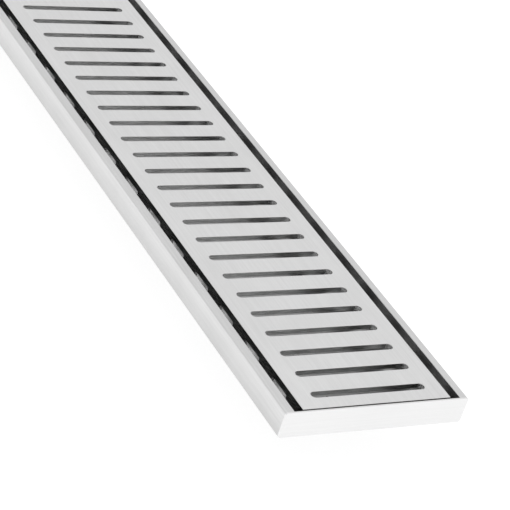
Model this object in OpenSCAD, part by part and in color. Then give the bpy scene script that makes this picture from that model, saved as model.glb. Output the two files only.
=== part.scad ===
// Linear floor drain: a folded steel channel with a lift-out slotted grate.
// Millimetres, +Z up. The origin is on the outlet axis, level with the underside of the channel.
// X runs across the channel and Y along it, towards the end nearest the outlet.

/* [Channel] */
// Width across the channel
channel_w = 100; // [90:1:130]
// Length over both end plates
channel_len = 600; // [400:10:800]
// Height from the underside to the rim
channel_h = 14; // [13:0.5:30]
// Thickness of the channel sheet
sheet = 1.0; // [0.8:0.1:1.2]
// Width of the folded rim along each side
rim_w = 4.7; // [4:0.1:7]
// Depth of the inner return, from the top of the rim
return_drop = 9; // [8:0.5:9]
// Outside radius of the bends along the outer edges
bend_r = 1.2; // [1.2:0.1:1.6]
// Thickness of the end plates
end_plate_t = 0.8; // [0.8:0.1:2]

/* [Grate] */
// Clear gap between the grate and the rim on each side
side_gap = 4.9; // [3:0.1:5]
// Clear gap between the grate and each end plate
end_gap = 0.9; // [0.5:0.1:3]
// Thickness of the grate plate
grate_t = 2.5; // [1.5:0.1:2.7]
// Thickness of the skirts
skirt_t = 1.5; // [1:0.1:2]
// Number of slots along the grate
slot_count = 39; // [20:1:42]
// Overall length of a slot, across the grate
slot_len = 62.2; // [40:0.1:64]
// Width of a slot
slot_w = 4.3; // [3:0.1:6]
// Distance from the outer end face to the centre of the first slot
slot_margin = 11.1; // [9:0.1:20]

/* [Skirt notches] */
// Spacing of the drainage notches along both skirts
notch_pitch = 27.4; // [24:0.1:40]
// Width of a notch
notch_w = 14.2; // [10:0.1:16]
// Distance from the outer end face to the centre of the first notch
notch_margin = 22.9; // [22:0.1:30]
// Depth of the solid band left above the notches, from the top of the grate
notch_band = 3.3; // [3.2:0.1:6]

/* [Shoes] */
// Thickness of rubber under a corner leg
shoe_pad = 1.0; // [0.5:0.1:1.5]
// Length of a shoe along the channel
shoe_len = 8; // [6:0.5:10]
// Height of a shoe above the channel floor
shoe_h = 5.5; // [5:0.5:8]

/* [Outlet] */
// Distance from the far outer end face to the outlet axis
outlet_margin = 90; // [60:1:150]
// Outside diameter of the spigot that enters the waste pipe
spigot_d = 50; // [40:1:50]
// Length of the spigot below the channel
spigot_len = 25; // [20:1:60]
// Wall thickness of the spigot
spigot_wall = 1.2; // [1:0.1:2]

/* [Hidden] */
$fn = 96;
near_y = outlet_margin - channel_len;
far_y = outlet_margin;
floor_top = sheet;
cut_over = 1;

grate_w = channel_w - 2 * (rim_w + side_gap);
grate_len = channel_len - 2 * (end_plate_t + end_gap);
grate_mid_y = (near_y + far_y) / 2;
plate_under = channel_h - grate_t;
skirt_in = grate_w / 2 - skirt_t;
leg_bottom = floor_top + shoe_pad;
slot_pitch = (channel_len - 2 * slot_margin) / (slot_count - 1);
notch_top = channel_h - notch_band;
notch_corner_r = 1;
notch_count = floor((channel_len - 2 * notch_margin) / notch_pitch) + 1;

shoe_cheek = 1.2;
shoe_clear = 0.2;
shoe_inset = 6;

spigot_r = spigot_d / 2;
spigot_bore_r = spigot_r - spigot_wall;
collar_r = spigot_r + 0.5;
collar_hole_r = collar_r + 0.1;
flange_r = spigot_r + 7;
flange_t = 1.0;

seal_t = 1.0;
seal_clear = 0.2;
seal_bottom = floor_top + flange_t;
basket_t = 0.8;
basket_rim_z = seal_bottom + seal_t;
basket_rim_r = spigot_r + 5;
cup_r = spigot_bore_r - 1.5;
cup_bottom = basket_rim_z - 18;
hole_r = 1.7;
bottom_rings = [[9, 8], [15.5, 14]];
wall_rows = [5, 10];
wall_holes = 16;

post_r = 3;
post_foot_r = 5;
post_foot_h = 2;
post_bottom = cup_bottom + basket_t;
knob_t = 4;
knob_r = 8;
knob_top = plate_under - 2;
screw_r = 2;
screw_reach = 9;
screw_hole_r = screw_r + 0.1;
tapped_hole_r = screw_r + 0.05;
tapped_hole_depth = screw_reach + 0.5;
screw_head_r = 3.6;
screw_head_h = 1.8;
driver_slot_w = 0.9;
driver_slot_depth = 1;

// Quarter ring of sheet: the section of one right-angle bend, curving from +X to +Y.
module bend_section(outer_r, thickness) {
  intersection() {
    difference() {
      circle(r = outer_r);
      circle(r = outer_r - thickness);
    }
    square(outer_r);
  }
}

// Section of half the channel, from the centre line out to one side: floor, wall, rim and return.
module half_channel_section() {
  rim_in = channel_w / 2 - rim_w;
  bend_out = channel_w / 2 - bend_r;
  bend_top = channel_h - bend_r;
  square([bend_out, sheet]);
  translate([bend_out, bend_r]) mirror([0, 1]) bend_section(bend_r, sheet);
  translate([channel_w / 2 - sheet, bend_r]) square([sheet, bend_top - bend_r]);
  translate([bend_out, bend_top]) bend_section(bend_r, sheet);
  translate([rim_in, channel_h - sheet]) square([rim_w - bend_r, sheet]);
  translate([rim_in, channel_h - return_drop]) square([sheet, return_drop]);
}

// One folded sheet: floor, two walls, two rims and their inner returns, with the outlet hole.
module channel_tray() {
  color([0.80, 0.80, 0.80])
  difference() {
    translate([0, far_y - end_plate_t, 0])
      rotate([90, 0, 0])
        linear_extrude(channel_len - 2 * end_plate_t) {
          half_channel_section();
          mirror([1, 0]) half_channel_section();
        }
    translate([0, 0, -cut_over]) cylinder(r = collar_hole_r, h = sheet + 2 * cut_over);
  }
}

// End plate with its corners rounded to the channel's outline; y is its lower face along Y.
module end_plate(y) {
  translate([0, y + end_plate_t, channel_h / 2])
    rotate([90, 0, 0])
      linear_extrude(end_plate_t) {
        square([channel_w - 2 * bend_r, channel_h], center = true);
        square([channel_w, channel_h - 2 * bend_r], center = true);
        for (sx = [-1, 1], sy = [-1, 1])
          translate([sx * (channel_w / 2 - bend_r), sy * (channel_h / 2 - bend_r)]) circle(r = bend_r);
      }
}

module near_end_plate() {
  color([0.90, 0.90, 0.90]) end_plate(near_y);
}

module far_end_plate() {
  color([0.90, 0.90, 0.90]) end_plate(far_y - end_plate_t);
}

// Flanged tube let in through the floor: the flange lies on the floor, and the collar stops the pipe.
module outlet_spigot() {
  flange_top = floor_top + flange_t;
  color([0.76, 0.76, 0.76])
  rotate_extrude()
    polygon([
      [spigot_bore_r, -spigot_len],
      [spigot_r, -spigot_len],
      [spigot_r, 0],
      [collar_r, 0],
      [collar_r, floor_top],
      [flange_r, floor_top],
      [flange_r, flange_top],
      [spigot_bore_r, flange_top]
    ]);
}

// Flat rubber ring under the rim of the strainer.
module strainer_seal() {
  color([0.10, 0.10, 0.10])
  translate([0, 0, seal_bottom])
    difference() {
      cylinder(r = basket_rim_r, h = seal_t);
      translate([0, 0, -cut_over]) cylinder(r = cup_r + seal_clear, h = seal_t + 2 * cut_over);
    }
}

// Perforated hair trap that hangs in the spigot.
module strainer_basket() {
  rim_top = basket_rim_z + basket_t;
  color([0.78, 0.78, 0.78])
  difference() {
    rotate_extrude()
      polygon([
        [0, cup_bottom],
        [cup_r, cup_bottom],
        [cup_r, basket_rim_z],
        [basket_rim_r, basket_rim_z],
        [basket_rim_r, rim_top],
        [cup_r - basket_t, rim_top],
        [cup_r - basket_t, post_bottom],
        [0, post_bottom]
      ]);
    translate([0, 0, cup_bottom - cut_over]) cylinder(r = screw_hole_r, h = basket_t + 2 * cut_over);
    for (ring = bottom_rings)
      for (i = [0 : ring[1] - 1])
        rotate(i * 360 / ring[1])
          translate([ring[0], 0, cup_bottom - cut_over])
            cylinder(r = hole_r, h = basket_t + 2 * cut_over);
    for (rise = wall_rows)
      for (i = [0 : wall_holes - 1])
        rotate([0, 90, (i + (rise == wall_rows[0] ? 0 : 0.5)) * 360 / wall_holes])
          translate([-cup_bottom - rise, 0, cup_r - 2 * basket_t])
            cylinder(r = hole_r, h = 3 * basket_t);
  }
}

// Turned lifting knob on a post, tapped from below for its screw.
module strainer_knob() {
  edge_r = knob_t / 2;
  color([0.76, 0.76, 0.76])
  difference() {
    union() {
      translate([0, 0, post_bottom]) cylinder(r = post_foot_r, h = post_foot_h);
      translate([0, 0, post_bottom]) cylinder(r = post_r, h = knob_top - edge_r - post_bottom);
      translate([0, 0, knob_top - knob_t]) cylinder(r = knob_r - edge_r, h = knob_t);
      translate([0, 0, knob_top - edge_r])
        rotate_extrude() translate([knob_r - edge_r, 0]) circle(r = edge_r);
    }
    translate([0, 0, post_bottom - cut_over]) cylinder(r = tapped_hole_r, h = tapped_hole_depth + cut_over);
  }
}

// Slotted pan-head screw that clamps the knob to the cup from below.
module strainer_screw() {
  color([0.70, 0.70, 0.70])
  difference() {
    union() {
      translate([0, 0, cup_bottom - screw_head_h]) cylinder(r = screw_head_r, h = screw_head_h);
      translate([0, 0, cup_bottom]) cylinder(r = screw_r, h = basket_t + screw_reach);
    }
    translate([-screw_head_r - cut_over, -driver_slot_w / 2, cup_bottom - screw_head_h - cut_over])
      cube([2 * (screw_head_r + cut_over), driver_slot_w, driver_slot_depth + cut_over]);
  }
}

// Outline of one slot, long across the grate and with full round ends.
module slot_outline() {
  reach = (slot_len - slot_w) / 2;
  square([2 * reach, slot_w], center = true);
  for (side = [-1, 1])
    translate([side * reach, 0]) circle(r = slot_w / 2);
}

// Flat top plate of the grate, cut with its row of slots.
module grate_plate() {
  color([0.84, 0.84, 0.84])
  difference() {
    translate([-grate_w / 2, grate_mid_y - grate_len / 2, plate_under]) cube([grate_w, grate_len, grate_t]);
    for (i = [0 : slot_count - 1])
      translate([0, near_y + slot_margin + i * slot_pitch, plate_under - cut_over])
        linear_extrude(grate_t + 2 * cut_over) slot_outline();
  }
}

// Outline of one skirt notch: open at the bottom, round in its upper corners.
module notch_outline() {
  straight = notch_w / 2 - notch_corner_r;
  translate([-notch_w / 2, 0]) square([notch_w, notch_top - notch_corner_r]);
  translate([-straight, 0]) square([2 * straight, notch_top]);
  for (side = [-1, 1])
    translate([side * straight, notch_top - notch_corner_r]) circle(r = notch_corner_r);
}

// Notched bar on edge, welded under the +X edge of the plate. Only its shod corner legs bear on the floor.
module skirt() {
  difference() {
    translate([skirt_in, grate_mid_y - grate_len / 2, leg_bottom])
      cube([skirt_t, grate_len, plate_under - leg_bottom]);
    for (i = [0 : notch_count - 1])
      translate([skirt_in - cut_over, near_y + notch_margin + i * notch_pitch, 0])
        rotate([90, 0, 90])
          linear_extrude(skirt_t + 2 * cut_over) notch_outline();
  }
}

module left_skirt() {
  color([0.82, 0.82, 0.82]) mirror([1, 0, 0]) skirt();
}

module right_skirt() {
  color([0.82, 0.82, 0.82]) skirt();
}

// One rubber shoe on a corner leg of the +X skirt: a pad below it, a cheek inside and a spacer outside.
module shoe() {
  spacer_out = channel_w / 2 - rim_w - shoe_clear;
  difference() {
    translate([skirt_in - shoe_cheek, -shoe_len / 2, floor_top])
      cube([spacer_out - skirt_in + shoe_cheek, shoe_len, shoe_h]);
    translate([skirt_in, -shoe_len / 2 - cut_over, leg_bottom])
      cube([skirt_t, shoe_len + 2 * cut_over, shoe_h]);
  }
}

// The two shoes of the +X skirt, one near each end of the grate.
module shoe_pair() {
  reach = grate_len / 2 - shoe_inset;
  for (end = [-1, 1])
    translate([0, grate_mid_y + end * reach, 0]) shoe();
}

module left_shoes() {
  color([0.12, 0.12, 0.12]) mirror([1, 0, 0]) shoe_pair();
}

module right_shoes() {
  color([0.12, 0.12, 0.12]) shoe_pair();
}

channel_tray();
near_end_plate();
far_end_plate();
outlet_spigot();
strainer_seal();
strainer_basket();
strainer_knob();
strainer_screw();
grate_plate();
left_skirt();
right_skirt();
left_shoes();
right_shoes();
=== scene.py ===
"""Looks for the linear floor drain: surfaces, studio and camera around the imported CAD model."""

import math

import bpy
from mathutils import Matrix, Vector


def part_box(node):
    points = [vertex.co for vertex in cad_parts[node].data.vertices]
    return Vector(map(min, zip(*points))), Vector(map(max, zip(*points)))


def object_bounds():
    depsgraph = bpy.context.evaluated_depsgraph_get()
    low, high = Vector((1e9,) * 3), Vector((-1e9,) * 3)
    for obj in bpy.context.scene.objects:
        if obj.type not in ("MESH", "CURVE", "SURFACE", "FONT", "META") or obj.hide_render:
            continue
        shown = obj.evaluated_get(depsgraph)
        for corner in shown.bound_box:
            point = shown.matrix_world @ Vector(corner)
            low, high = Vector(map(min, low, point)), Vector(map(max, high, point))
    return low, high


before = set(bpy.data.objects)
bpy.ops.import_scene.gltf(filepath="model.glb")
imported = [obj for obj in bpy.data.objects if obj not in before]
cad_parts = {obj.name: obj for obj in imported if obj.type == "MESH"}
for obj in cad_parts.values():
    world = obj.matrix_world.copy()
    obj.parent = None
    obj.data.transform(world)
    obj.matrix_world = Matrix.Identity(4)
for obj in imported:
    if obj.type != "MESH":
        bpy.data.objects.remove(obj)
cad_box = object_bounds()

# The camera, as angles about the drain and a place on its top face that it looks at.
CAMERA_AZIMUTH = math.radians(-37.03)
CAMERA_ELEVATION = math.radians(30.37)
CAMERA_ROLL = math.radians(18.64)
CAMERA_DISTANCE = 1.0559
CAMERA_LENS_MM = 152.8
CAMERA_SENSOR_MM = 36.0
AIM_ACROSS = -0.00486
AIM_ALONG = 0.11854

# Sizes of the folded tray that say where one finish ends and the next begins.
MM = 0.001
RIM_WIDTH = 4.7 * MM
SHEET = 1.0 * MM

# Depth of the relief that each finish leaves.
SCRATCH_DEPTH = 0.004 * MM
ROLLING_DEPTH = 0.002 * MM
DRAWING_DEPTH = 0.006 * MM
MOULDING_DEPTH = 0.03 * MM

# The studio: a glowing floor just under the drain, and an even surround.
FLOOR_HALF_WIDTH = 6.0
FLOOR_CLEARANCE = 0.2 * MM
FLOOR_GLOW = 0.82
SKY_OVERHEAD = 0.9
SKY_SIDEWAYS = 0.78


# ---------------------------------------------------------------- shader helpers


class Shader:
    """A material's node tree, with one short method for each kind of node it needs."""

    def __init__(self, name):
        self.material = bpy.data.materials.new(name)
        self.material.use_nodes = True
        self.tree = self.material.node_tree
        self.tree.nodes.clear()
        self.output = self.tree.nodes.new("ShaderNodeOutputMaterial")
        self.coords = self.tree.nodes.new("ShaderNodeTexCoord").outputs["Object"]

    def connect(self, value, socket):
        """Joins a socket to a socket, or sets the socket's own value."""
        if isinstance(value, bpy.types.NodeSocket):
            self.tree.links.new(value, socket)
        else:
            socket.default_value = value

    def scaled(self, scale):
        """Object coordinates multiplied by a scale for each axis, in repeats per metre."""
        node = self.tree.nodes.new("ShaderNodeMapping")
        self.connect(self.coords, node.inputs["Vector"])
        node.inputs["Scale"].default_value = scale
        return node.outputs["Vector"]

    def noise(self, scale, detail=3.0, roughness=0.6):
        """Noise from 0 to 1, stretched by a scale for each axis."""
        node = self.tree.nodes.new("ShaderNodeTexNoise")
        self.connect(self.scaled(scale), node.inputs["Vector"])
        node.inputs["Scale"].default_value = 1.0
        node.inputs["Detail"].default_value = detail
        node.inputs["Roughness"].default_value = roughness
        return node.outputs["Fac"]

    def remap(self, value, from_low, from_high, to_low, to_high):
        """Value moved from one range to another, and held inside it."""
        node = self.tree.nodes.new("ShaderNodeMapRange")
        node.interpolation_type = "SMOOTHSTEP"
        self.connect(value, node.inputs["Value"])
        self.connect(from_low, node.inputs["From Min"])
        self.connect(from_high, node.inputs["From Max"])
        self.connect(to_low, node.inputs["To Min"])
        self.connect(to_high, node.inputs["To Max"])
        return node.outputs["Result"]

    def spread(self, noise, low, high):
        """Noise stretched so that its usual values, 0.3 to 0.7, run from low to high."""
        return self.remap(noise, 0.3, 0.7, low, high)

    def math(self, operation, first, second=0.0):
        node = self.tree.nodes.new("ShaderNodeMath")
        node.operation = operation
        self.connect(first, node.inputs[0])
        self.connect(second, node.inputs[1])
        return node.outputs["Value"]

    def grey(self, value):
        """A grey colour whose brightness is a value socket."""
        node = self.tree.nodes.new("ShaderNodeCombineColor")
        for channel in ("Red", "Green", "Blue"):
            self.connect(value, node.inputs[channel])
        return node.outputs["Color"]

    def position(self):
        """Place on the drain, in metres, as sockets for X, Y and Z."""
        node = self.tree.nodes.new("ShaderNodeSeparateXYZ")
        self.connect(self.coords, node.inputs["Vector"])
        return node.outputs

    def below(self, value, edge):
        """1 where value is under the edge, and 0 from a hair above it."""
        return self.remap(value, edge, edge + 0.1 * MM, 1.0, 0.0)

    def blend(self, factor, first, second):
        """Number mix: factor 0 gives first, and 1 gives second."""
        node = self.tree.nodes.new("ShaderNodeMix")
        self.connect(factor, node.inputs["Factor"])
        self.connect(first, node.inputs["A"])
        self.connect(second, node.inputs["B"])
        return node.outputs["Result"]

    def bump(self, height, distance, strength=1.0):
        node = self.tree.nodes.new("ShaderNodeBump")
        self.connect(height, node.inputs["Height"])
        node.inputs["Distance"].default_value = distance
        node.inputs["Strength"].default_value = strength
        return node.outputs["Normal"]

    def surface(self, colour, metallic, roughness, normal):
        """Ends the material with one principled surface and returns the material."""
        node = self.tree.nodes.new("ShaderNodeBsdfPrincipled")
        self.connect(colour, node.inputs["Base Color"])
        self.connect(metallic, node.inputs["Metallic"])
        self.connect(roughness, node.inputs["Roughness"])
        self.connect(normal, node.inputs["Normal"])
        self.tree.links.new(node.outputs["BSDF"], self.output.inputs["Surface"])
        return self.material


# ---------------------------------------------------------------- materials


X_GRAIN, Y_GRAIN, Z_GRAIN = 0, 1, 2


def grain_scale(along, length_mm, width_mm):
    """Noise scale for streaks that run along one axis (0 for X, 1 for Y, 2 for Z)."""
    scale = [1000.0 / width_mm] * 3
    scale[along] = 1000.0 / length_mm
    return scale


def brushed_finish(s, along, brightness, contrast=1.0):
    """Belt-brushed face: scratches, broader streaks and faint clouds. Gives tone, roughness and relief."""
    scratch = s.noise(grain_scale(along, 22.0, 0.16), detail=4.0)
    streak = s.noise(grain_scale(along, 38.0, 1.1), detail=2.0)
    cloud = s.noise((28.0, 28.0, 28.0), detail=3.0)
    tone = brightness
    for grain, strength in ((scratch, 0.04), (streak, 0.025), (cloud, 0.02)):
        swing = strength * contrast
        tone = s.math("MULTIPLY", s.remap(grain, 0.27, 0.73, 1.0 - swing, 1.0 + swing), tone)
    return tone, s.spread(scratch, 0.30, 0.42), scratch


def plain_finish(s, along, brightness, dullness, contrast=1.0):
    """Face with no brushing, with soft marks from rolling or cutting. Gives tone, roughness and relief."""
    marks = s.noise(grain_scale(along, 9.0, 0.5), detail=3.0)
    cloud = s.noise((60.0, 60.0, 60.0), detail=3.0)
    swing = 0.05 * contrast
    tone = s.math("MULTIPLY", s.spread(marks, 1.0 - swing, 1.0 + swing), brightness)
    tone = s.math("MULTIPLY", tone, s.spread(cloud, 0.97, 1.03))
    return tone, s.math("MULTIPLY", s.spread(cloud, 0.9, 1.1), dullness), marks


def part_brushed(s, where_plain, brushed, plain):
    """Ends a material that is brushed in some places and plain in others."""
    tone, roughness, relief = [s.blend(where_plain, first, second) for first, second in zip(brushed, plain)]
    return s.surface(s.grey(tone), 1.0, roughness, s.bump(relief, SCRATCH_DEPTH))


def tray_steel(name, brightness, lit_floor_brightness, shaded_return_brightness):
    """The tray: brushed outside with painted shade low down, plain on its floor with painted light, and dull
    on its inner returns, which are darkened with painted shade.
    """
    s = Shader(name)
    low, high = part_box("channel_tray")
    skin = 0.4 * MM  # wider than the softened edges, so none of them is split between two finishes
    lowest_shade_share = 0.86
    floor_dullness, return_dullness = 0.3, 0.5
    place = s.position()
    between_rims = s.below(s.math("ABSOLUTE", place["X"]), high.x - RIM_WIDTH + skin)
    below_rims = s.below(place["Z"], high.z - skin)
    above_underside = s.math("SUBTRACT", 1.0, s.below(place["Z"], low.z + skin))
    where_plain = s.math("MULTIPLY", between_rims, s.math("MULTIPLY", below_rims, above_underside))
    on_floor = s.below(place["Z"], low.z + SHEET + skin)
    # Painted light and shade: the floor is made lighter to stand in for light falling through the grate, and
    # the inner returns darker to stand in for the shade in the side gaps.
    plain_brightness_with_painted_shade = s.blend(on_floor, shaded_return_brightness, lit_floor_brightness)
    plain = plain_finish(s, Y_GRAIN, plain_brightness_with_painted_shade, s.blend(on_floor, return_dullness, floor_dullness))
    # Painted shade: the brushed outside darkens towards the underside, standing in for the shadow where the
    # tray meets the floor.
    bottom_shaded_brightness = s.remap(place["Z"], low.z, high.z - SHEET, lowest_shade_share * brightness, brightness)
    return part_brushed(s, where_plain, brushed_finish(s, Y_GRAIN, bottom_shaded_brightness), plain)


def grate_steel(name, brightness, slot_brightness, shaded_edge_brightness):
    """The slotted plate: brushed on top, bright in its slots and below, and darkened with painted shade on
    its long cut edges.
    """
    s = Shader(name)
    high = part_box("grate_plate")[1]
    top_skin = 0.2 * MM
    edge_strip = 1.0 * MM
    place = s.position()
    where_plain = s.below(place["Z"], high.z - top_skin)
    inside_edges = s.below(s.math("ABSOLUTE", place["X"]), high.x - edge_strip)
    # Painted shade: a strip along each long cut edge is darkened to stand in for the shade in the side gaps.
    plain_brightness_with_painted_shade = s.blend(inside_edges, shaded_edge_brightness, slot_brightness)
    plain = plain_finish(s, X_GRAIN, plain_brightness_with_painted_shade, dullness=0.2, contrast=5.0)
    return part_brushed(s, where_plain, brushed_finish(s, Y_GRAIN, brightness), plain)


def brushed_steel(name, along, brightness, contrast):
    """Steel brushed all over along one axis."""
    s = Shader(name)
    tone, roughness, relief = brushed_finish(s, along, brightness, contrast)
    return s.surface(s.grey(tone), 1.0, roughness, s.bump(relief, SCRATCH_DEPTH))


def mill_steel(name, brightness, dullness):
    """Bar or sheet left as rolled all over."""
    s = Shader(name)
    tone, roughness, relief = plain_finish(s, Y_GRAIN, brightness, dullness)
    return s.surface(s.grey(tone), 1.0, roughness, s.bump(relief, ROLLING_DEPTH))


def turned_steel(name, brightness):
    """Steel turned on a lathe: fine rings about the part's own axis, which is the Z axis here."""
    s = Shader(name)
    wave = s.tree.nodes.new("ShaderNodeTexWave")
    wave.wave_type = "RINGS"
    wave.rings_direction = "Z"
    wave.inputs["Scale"].default_value = 350.0
    wave.inputs["Distortion"].default_value = 0.6
    s.connect(s.coords, wave.inputs["Vector"])
    rings = wave.outputs["Fac"]
    mottle = s.noise((160.0, 160.0, 160.0))
    tone = s.math("MULTIPLY", s.remap(rings, 0.0, 1.0, 0.93, 1.03), brightness)
    tone = s.math("MULTIPLY", tone, s.spread(mottle, 0.95, 1.04))
    normal = s.bump(rings, SCRATCH_DEPTH)
    return s.surface(s.grey(tone), 1.0, s.spread(mottle, 0.22, 0.32), normal)


def drawn_steel(name, brightness):
    """Plain drawn and pressed steel: soft vertical draw lines and faint clouding."""
    s = Shader(name)
    lines = s.noise(grain_scale(Z_GRAIN, 30.0, 0.35), detail=3.0)
    cloud = s.noise((70.0, 70.0, 70.0))
    tone = s.math("MULTIPLY", s.spread(lines, 0.93, 1.04), brightness)
    tone = s.math("MULTIPLY", tone, s.spread(cloud, 0.93, 1.05))
    normal = s.bump(lines, DRAWING_DEPTH)
    return s.surface(s.grey(tone), 1.0, s.spread(cloud, 0.28, 0.4), normal)


def moulded_rubber(name):
    """Matt black rubber with a fine moulded grain and a little dust."""
    s = Shader(name)
    grain = s.noise((2400.0, 2400.0, 2400.0), detail=2.0)
    dust = s.noise((220.0, 220.0, 220.0), detail=4.0)
    tone = s.remap(dust, 0.45, 0.8, 0.018, 0.05)
    normal = s.bump(grain, MOULDING_DEPTH)
    return s.surface(s.grey(tone), 0.0, s.spread(dust, 0.62, 0.8), normal)


materials = {
    # Painted shade: the grate's long cut edges are darkened to stand in for the shade in the side gaps.
    "grate_plate": grate_steel("brushed_grate", 0.77, slot_brightness=0.77, shaded_edge_brightness=0.35),
    # Painted shade: the skirts' steel is darkened to stand in for the shade under the grate's edges.
    "left_skirt": mill_steel("mill_skirt", 0.35, dullness=0.3),
    # Painted light and shade: the tray's floor is lighter and its inner returns darker than its outside,
    # standing in for light through the grate and shade in the gaps.
    "channel_tray": tray_steel("brushed_channel", 0.7, lit_floor_brightness=0.86, shaded_return_brightness=0.3),
    "near_end_plate": brushed_steel("brushed_end", X_GRAIN, 0.82, contrast=0.45),
    "outlet_spigot": drawn_steel("drawn_spigot", 0.66),
    "strainer_basket": drawn_steel("drawn_strainer", 0.68),
    "strainer_knob": turned_steel("turned_knob", 0.74),
    "strainer_screw": turned_steel("turned_screw", 0.68),
    "strainer_seal": moulded_rubber("moulded_rubber"),
}
materials["right_skirt"] = materials["left_skirt"]
materials["far_end_plate"] = materials["near_end_plate"]
materials["left_shoes"] = materials["strainer_seal"]
materials["right_shoes"] = materials["strainer_seal"]

EDGE_SOFTENING_MM = {
    "channel_tray": 0.25,
    "near_end_plate": 0.3,
    "far_end_plate": 0.3,
    "grate_plate": 0.12,
    "left_skirt": 0.12,
    "right_skirt": 0.12,
    "outlet_spigot": 0.25,
    "strainer_seal": 0.2,
    "strainer_basket": 0.15,
    "strainer_knob": 0.2,
    "strainer_screw": 0.2,
    "left_shoes": 0.35,
    "right_shoes": 0.35,
}


def dress(name):
    """Gives a CAD piece its material and softens its hard edges."""
    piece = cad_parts[name]
    piece.data.materials.clear()
    piece.data.materials.append(materials[name])
    bevel = piece.modifiers.new("edge_softening", "BEVEL")
    bevel.width = EDGE_SOFTENING_MM[name] * MM
    bevel.segments = 2
    bevel.limit_method = "ANGLE"
    bevel.angle_limit = math.radians(40)
    bevel.use_clamp_overlap = True
    bevel.harden_normals = True


for node_name in materials:
    dress(node_name)


# ---------------------------------------------------------------- studio


def floor_sheet(level):
    """A wide pale floor that glows a little, like the light table of a product studio."""
    s = Shader("studio_floor")
    node = s.tree.nodes.new("ShaderNodeBsdfPrincipled")
    node.inputs["Base Color"].default_value = (0.3, 0.3, 0.3, 1.0)
    node.inputs["Roughness"].default_value = 0.9
    node.inputs["Specular IOR Level"].default_value = 0.0
    node.inputs["Emission Color"].default_value = (1.0, 1.0, 1.0, 1.0)
    node.inputs["Emission Strength"].default_value = FLOOR_GLOW
    s.tree.links.new(node.outputs["BSDF"], s.output.inputs["Surface"])
    half = FLOOR_HALF_WIDTH
    mesh = bpy.data.meshes.new("studio_floor")
    corners = [(-half, -half, level), (half, -half, level), (half, half, level), (-half, half, level)]
    mesh.from_pydata(corners, [], [(0, 1, 2, 3)])
    mesh.materials.append(s.material)
    floor = bpy.data.objects.new("studio_floor", mesh)
    bpy.context.scene.collection.objects.link(floor)


def sky(strength_up, strength_side):
    """Even studio surround that changes gently from the horizon to overhead."""
    world = bpy.data.worlds.new("studio_surround")
    bpy.context.scene.world = world
    world.use_nodes = True
    tree = world.node_tree
    background = tree.nodes["Background"]
    coords = tree.nodes.new("ShaderNodeTexCoord")
    split = tree.nodes.new("ShaderNodeSeparateXYZ")
    ramp = tree.nodes.new("ShaderNodeMapRange")
    tree.links.new(coords.outputs["Generated"], split.inputs["Vector"])
    tree.links.new(split.outputs["Z"], ramp.inputs["Value"])
    ramp.inputs["From Min"].default_value = 0.0
    ramp.inputs["From Max"].default_value = 0.9
    ramp.inputs["To Min"].default_value = strength_side
    ramp.inputs["To Max"].default_value = strength_up
    tree.links.new(ramp.outputs["Result"], background.inputs["Strength"])
    background.inputs["Color"].default_value = (1.0, 1.0, 1.0, 1.0)


def softbox(name, azimuth, elevation, distance, size, watts, target):
    """A square area light that faces the target from a direction given in degrees."""
    a, e = math.radians(azimuth), math.radians(elevation)
    away = Vector((math.sin(a) * math.cos(e), -math.cos(a) * math.cos(e), math.sin(e)))
    data = bpy.data.lights.new(name, "AREA")
    data.shape = "SQUARE"
    data.size = size
    data.energy = watts
    light = bpy.data.objects.new(name, data)
    light.location = target + away * distance
    light.rotation_euler = away.to_track_quat("Z", "Y").to_euler()
    bpy.context.scene.collection.objects.link(light)


middle = (cad_box[0] + cad_box[1]) / 2
floor_sheet(cad_box[0].z - FLOOR_CLEARANCE)
sky(SKY_OVERHEAD, SKY_SIDEWAYS)
softbox("overhead_softbox", azimuth=0, elevation=80, distance=1.5, size=1.2, watts=4, target=middle)


# ---------------------------------------------------------------- camera


def roll_frame(azimuth, elevation, roll):
    """Camera rotation that looks from a direction about the drain and then turns about the line of sight."""
    away = Vector((
        math.sin(azimuth) * math.cos(elevation),
        -math.cos(azimuth) * math.cos(elevation),
        math.sin(elevation),
    ))
    right = Vector((0, 0, 1)).cross(away).normalized()
    up = away.cross(right)
    upright = Matrix((right, up, away)).transposed()
    return away, upright @ Matrix.Rotation(roll, 3, "Z")


away, turn = roll_frame(CAMERA_AZIMUTH, CAMERA_ELEVATION, CAMERA_ROLL)
near_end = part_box("near_end_plate")[0].y
rim_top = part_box("channel_tray")[1].z
aim = Vector((AIM_ACROSS, near_end + AIM_ALONG, rim_top))
camera_data = bpy.data.cameras.new("camera")
camera_data.sensor_width = CAMERA_SENSOR_MM
camera_data.lens = CAMERA_LENS_MM
camera = bpy.data.objects.new("camera", camera_data)
camera.matrix_world = Matrix.Translation(aim + away * CAMERA_DISTANCE) @ turn.to_4x4()
bpy.context.scene.collection.objects.link(camera)
bpy.context.scene.camera = camera

bpy.context.scene.view_settings.view_transform = "Standard"
bpy.context.scene.view_settings.look = "None"
